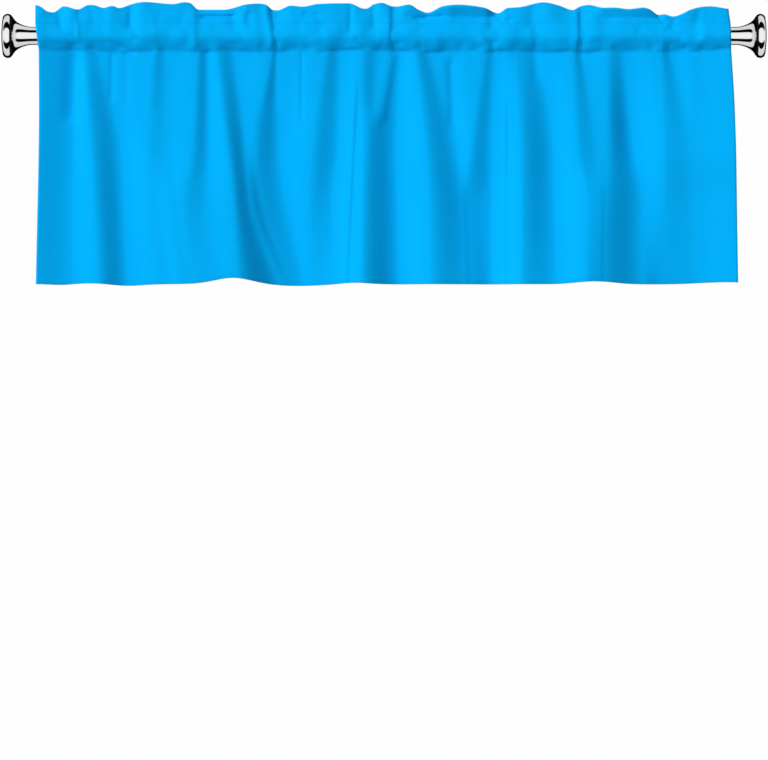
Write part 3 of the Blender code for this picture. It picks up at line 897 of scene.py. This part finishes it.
def woven_material(name, colour, deep_colour):
    """Plain weave: over and under yarns from two sine ridges that a chequer swaps, with uneven yarns,
    and a painted shade where they lie low.
    """
    made, tree, shader = new_material(name)
    place = joined(tree, "ShaderNodeUVMap", uv_map=CLOTH_MAP).outputs["UV"]
    yarns = joined(tree, "ShaderNodeVectorMath", [(0, place), ("Scale", 1 / YARN_PITCH)],
                   operation="SCALE").outputs[0]
    split = joined(tree, "ShaderNodeSeparateXYZ", [(0, yarns)])
    ridges = []
    for axis in (0, 1):
        wave = maths(tree, "SINE", maths(tree, "MULTIPLY", split.outputs[axis], pi))
        ridges.append(maths(tree, "ABSOLUTE", wave))
    swap = joined(tree, "ShaderNodeTexChecker", [("Vector", yarns), ("Scale", 1.0)]).outputs["Fac"]
    height = joined(tree, "ShaderNodeMix", [(0, swap), (2, ridges[0]), (3, ridges[1])]).outputs[0]
    slub = joined(tree, "ShaderNodeTexNoise",
                  [("Vector", place), ("Scale", SLUB_SCALE), ("Detail", 3.0)])
    cloud = joined(tree, "ShaderNodeTexNoise",
                   [("Vector", place), ("Scale", CLOUD_SCALE), ("Detail", 4.0)])
    uneven = maths(tree, "MULTIPLY_ADD", slub.outputs["Fac"], SLUB_SHARE, height)
    bump = joined(tree, "ShaderNodeBump",
                  [("Height", uneven), ("Strength", WEAVE_STRENGTH), ("Distance", YARN_DEPTH)])
    # the colour darkens where the yarns lie low, a painted shade between them, plus the cloud's random
    # tone
    shade = maths(tree, "MULTIPLY_ADD", height, YARN_SHADE, cloud.outputs["Fac"])
    tint = joined(tree, "ShaderNodeValToRGB", [("Fac", shade)])
    set_stops(tint, ((DEEP_SHADE, (*deep_colour, 1)), (FULL_SHADE, (*colour, 1))))
    tree.links.new(shader.inputs["Base Color"], tint.outputs["Color"])
    tree.links.new(shader.inputs["Normal"], bump.outputs["Normal"])
    shader.inputs["Roughness"].default_value = 0.9
    shader.inputs["Specular IOR Level"].default_value = 0.03
    shader.inputs["Sheen Weight"].default_value = 0.04
    shader.inputs["Sheen Roughness"].default_value = 0.5
    shader.inputs["Sheen Tint"].default_value = (*SHEEN_TINT, 1)
    return made


def thread_material(name, colour):
    """Sewing thread: fine twisted ribs along each stitch."""
    made, tree, shader = new_material(name)
    place = joined(tree, "ShaderNodeTexCoord").outputs["Object"]
    twist = joined(tree, "ShaderNodeTexWave", bands_direction="DIAGONAL",
                   links=[("Vector", place), ("Scale", TWIST_SCALE), ("Distortion", 1.0)])
    bump = joined(tree, "ShaderNodeBump", [("Height", twist.outputs["Fac"]),
                                           ("Strength", TWIST_STRENGTH), ("Distance", TWIST_DEPTH)])
    tree.links.new(shader.inputs["Normal"], bump.outputs["Normal"])
    shader.inputs["Base Color"].default_value = (*colour, 1)
    shader.inputs["Roughness"].default_value = 0.6
    shader.inputs["Specular IOR Level"].default_value = 0.15
    return made


def chrome_material(name):
    """Polished chrome with a faint unevenness in its gloss, and a painted shade and painted dark
    reflection on a band in the groove behind each bead.
    """
    made, tree, shader = new_material(name)
    place = joined(tree, "ShaderNodeTexCoord").outputs["Object"]
    haze = joined(tree, "ShaderNodeTexNoise",
                  [("Vector", place), ("Scale", HAZE_SCALE), ("Detail", 5.0)])
    clear, hazy = CHROME_ROUGHNESS
    gloss = joined(tree, "ShaderNodeMapRange",
                   [("Value", haze.outputs["Fac"]), ("To Min", clear), ("To Max", hazy)])
    along = joined(tree, "ShaderNodeSeparateXYZ", [(0, place)]).outputs[0]
    # a band along x where the colour is painted near-black, as the groove's painted shade and painted
    # dark reflection
    painted_groove_shade = maths(tree, "COMPARE", maths(tree, "ABSOLUTE", along), GROOVE_PLACE, GROOVE_REACH)
    tree.links.new(shader.inputs["Roughness"], gloss.outputs["Result"])
    tree.links.new(shader.inputs["Base Color"], mixed(tree, painted_groove_shade, (*CHROME, 1), (*GROOVE_PAINTED_SHADE, 1)))
    shader.inputs["Metallic"].default_value = 1.0
    return made


# Studio
IMAGE_SIZE = (768, 760)                 # width and height of the finished image
PIXEL = 0.001633                        # metres at the rod's axis for each of its pixels
AXIS_ROW = 35.9                         # the axis lies this far below the image's top, in pixels
LENS = 250.0                            # millimetres, as the sensor's width
SENSOR = 36.0
VIEW_DEPTH = 500.0                      # metres, as the floor's height and radius
FLOOR_HEIGHT = -2.1
FLOOR_RADIUS = 120.0
FLOOR_SIDES = 96
FLOOR_TONE = (0.9, 0.9, 0.9)
FLOOR_GLOW = (0.935, 0.935, 1)
FLOOR_GLOW_STRENGTH = 0.402
KEY_AZIMUTH = radians(-46)              # left of the camera
KEY_ELEVATION = radians(20)
KEY_STRENGTH = 2.70
KEY_SOFTNESS = radians(24)              # how wide the light stands in the sky
FILL = (0.388, 0.388, 0.360)            # a little warm
BACKDROP = 0.99
END_PANELS = 0.8                        # light walls past the rod's two ends
END_REACH = (0.88, 0.97)                # how far sideways a ray points where they start, and are whole
LONG_PANELS = (                         # degrees up or down from straight in front, and how light it is
    (0, 1.0), (37, 0.95), (41, 0.0), (74, 0.0), (79, 0.8), (128, 0.74), (133, 0.0), (180, 0.0),
)


def camera():
    """A long lens, level and square on to the cloth, at the height of the image's middle."""
    data = bpy.data.cameras.new("camera")
    data.lens = LENS
    data.sensor_width = SENSOR
    data.clip_end = VIEW_DEPTH
    seen = bpy.data.objects.new("camera", data)
    bpy.context.scene.collection.objects.link(seen)
    width, height = IMAGE_SIZE
    seen.location = (0, -width * PIXEL * LENS / SENSOR, (AXIS_ROW - height / 2) * PIXEL)
    seen.rotation_euler = (pi / 2, 0, 0)
    bpy.context.scene.camera = seen


def key_light():
    """One broad soft light from the left, a little above the camera."""
    data = bpy.data.lights.new("key", "SUN")
    data.energy = KEY_STRENGTH
    data.angle = KEY_SOFTNESS
    light = bpy.data.objects.new("key", data)
    light.rotation_euler = (pi / 2 - KEY_ELEVATION, 0, KEY_AZIMUTH)
    light.visible_glossy = False
    bpy.context.scene.collection.objects.link(light)


def floor():
    """A wide pale disc with an even glow of its own, which neither lights nor mirrors in the object."""
    bpy.ops.mesh.primitive_circle_add(vertices=FLOOR_SIDES, radius=FLOOR_RADIUS, fill_type="NGON",
                                      location=(0, 0, FLOOR_HEIGHT))
    disc = bpy.context.object
    disc.name = "floor"
    made, _, shader = new_material("pale_floor")
    shader.inputs["Base Color"].default_value = (*FLOOR_TONE, 1)
    shader.inputs["Roughness"].default_value = 1.0
    shader.inputs["Specular IOR Level"].default_value = 0.0
    shader.inputs["Emission Color"].default_value = (*FLOOR_GLOW, 1)
    shader.inputs["Emission Strength"].default_value = FLOOR_GLOW_STRENGTH
    disc.data.materials.append(made)
    disc.visible_glossy = False
    disc.visible_diffuse = False


def grey(tone):
    """A grey with its alpha, for a node's colour."""
    return (tone, tone, tone, 1)


def world():
    """White behind the object and a dim even fill for the cloth.

    The chrome mirrors long light and dark panels parallel to the rod, and light walls past its ends.
    """
    made = bpy.data.worlds.new("studio")
    bpy.context.scene.world = made
    made.use_nodes = True
    tree = made.node_tree
    tree.nodes.clear()
    ray = joined(tree, "ShaderNodeLightPath")
    direction = joined(tree, "ShaderNodeSeparateXYZ",
                       [(0, joined(tree, "ShaderNodeTexCoord").outputs["Generated"])])
    aside, backward, upward = direction.outputs
    forward = maths(tree, "MULTIPLY", backward, -1.0)
    angle = maths(tree, "ARCTAN2", maths(tree, "ABSOLUTE", upward), forward)
    panels = joined(tree, "ShaderNodeValToRGB", [("Fac", maths(tree, "DIVIDE", angle, pi))])
    set_stops(panels, [(degrees / 180, grey(tone)) for degrees, tone in LONG_PANELS])
    starts, whole = END_REACH
    ends = joined(tree, "ShaderNodeMapRange",
                  [("Value", maths(tree, "ABSOLUTE", aside)), ("From Min", starts), ("From Max", whole)])
    walls = mixed(tree, ends.outputs["Result"], panels.outputs["Color"], grey(END_PANELS))
    mirrored = mixed(tree, ray.outputs["Is Glossy Ray"], (*FILL, 1), walls)
    seen = mixed(tree, ray.outputs["Is Camera Ray"], mirrored, grey(BACKDROP))
    background = joined(tree, "ShaderNodeBackground", [("Color", seen)])
    joined(tree, "ShaderNodeOutputWorld", [("Surface", background.outputs[0])])


camera()
world()
floor()
key_light()
bpy.context.scene.view_settings.view_transform = "Standard"

azure = woven_material("azure_weave", AZURE, DEEP_AZURE)
azure_thread = thread_material("azure_thread", AZURE_THREAD)
chrome = chrome_material("polished_chrome")

panel = cloth_panel(azure)
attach(panel, "root")
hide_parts("valance")
seams = [stitch_line(upper, side) for upper in (False, True) for side in (-1, 1)]
sewing = stitches("seam_stitches", seams + [hem_stitch_line()], azure_thread)
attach(sewing, "root")

tube = turned("rod_tube", tube_profile(), 1, chrome)
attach(tube, "root")
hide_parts("rod")
for name, side in (("left", -1), ("right", 1)):
    finial = turned("finial_turned_" + name, finial_profile(), side, chrome)
    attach(finial, "root")
    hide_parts("finial_" + name)

bpy.context.view_layer.update()
